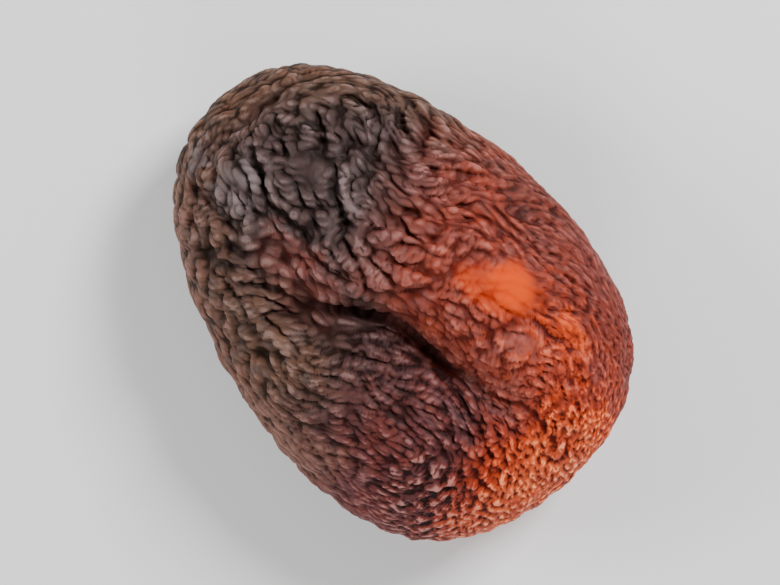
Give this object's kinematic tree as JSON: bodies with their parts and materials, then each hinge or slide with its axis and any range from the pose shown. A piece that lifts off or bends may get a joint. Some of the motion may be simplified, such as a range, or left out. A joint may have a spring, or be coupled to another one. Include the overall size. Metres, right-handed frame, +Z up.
{
  "type": "dried apricot",
  "caption": "Whole dried apricot: a flattened, leathery, egg-shaped fruit with a deep fold, fine wrinkles and a small flat spot to rest on.",
  "frame": {"origin": "bottom centre of the bounding box, on the flat spot the fruit rests on", "axes": "+X along the fruit from the stem end to the broad blossom end, +Z up out of the face with the fold"},
  "size_m": [0.0422, 0.0302, 0.0154],
  "materials": {
    "skin": "wrinkled semi-gloss fruit skin, dark brown at the stem end, amber orange at the blossom end"
  },
  "bodies": {
    "root": {"apricot": "skin"}
  },
  "joints": []
}
